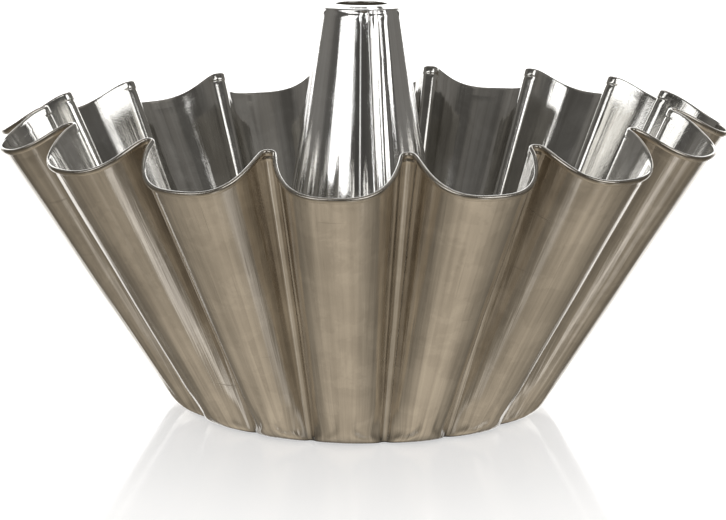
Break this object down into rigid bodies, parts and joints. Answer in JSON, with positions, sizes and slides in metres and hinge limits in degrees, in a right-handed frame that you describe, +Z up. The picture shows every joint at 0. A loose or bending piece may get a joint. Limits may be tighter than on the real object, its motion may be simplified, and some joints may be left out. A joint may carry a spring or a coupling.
{
  "type": "fluted bundt pan",
  "caption": "Round fluted ring-cake tin: flaring scalloped walls with a rolled wire edge around a tall open conical centre tube with a lock seam.",
  "frame": {"origin": "on the tin's axis, at the plane it stands on", "axes": "+Z up along the tin's axis, -Y towards the front"},
  "size_m": [0.2492, 0.2492, 0.1389],
  "materials": {
    "shell_tinplate": "satin rolled tinplate, warm grey outside and brighter inside, with faint scratches and handling blotches",
    "wire_steel": "plain drawn steel wire",
    "tube_tinplate": "bright tinplate, near-mirror, with fine rolling texture"
  },
  "bodies": {
    "root": {"fluted_shell": "shell_tinplate", "rim_wire": "wire_steel", "centre_tube": "tube_tinplate"}
  },
  "joints": []
}
